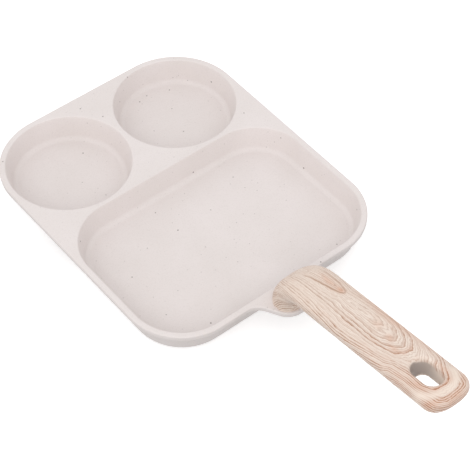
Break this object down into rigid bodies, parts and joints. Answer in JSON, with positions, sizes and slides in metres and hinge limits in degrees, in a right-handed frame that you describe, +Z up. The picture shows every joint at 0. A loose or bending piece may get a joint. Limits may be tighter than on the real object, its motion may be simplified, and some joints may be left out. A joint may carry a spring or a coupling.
{
  "type": "divided frying pan",
  "caption": "Divided frying pan with round egg cups beside a wide rectangular well, a flush flange and a raised wood-look handle with a hanging slot.",
  "frame": {"origin": "on the surface that the pan stands on, below the middle of the rim outline without lug and handle", "axes": "+Z up, +Y from the handle towards the round cups, +X to the right when seen from the handle"},
  "size_m": [0.1912, 0.3872, 0.0704],
  "materials": {
    "stone_coating": "matt speckled off-white coating on cast aluminium",
    "wood_grain": "satin wood-grain print on moulded phenolic",
    "brass": "turned",
    "steel": "zinc plated"
  },
  "bodies": {
    "root": {"pan_body": "stone_coating", "handle": "wood_grain", "handle_insert": "brass", "spring_washer": "steel", "handle_screw": "steel"}
  },
  "joints": []
}
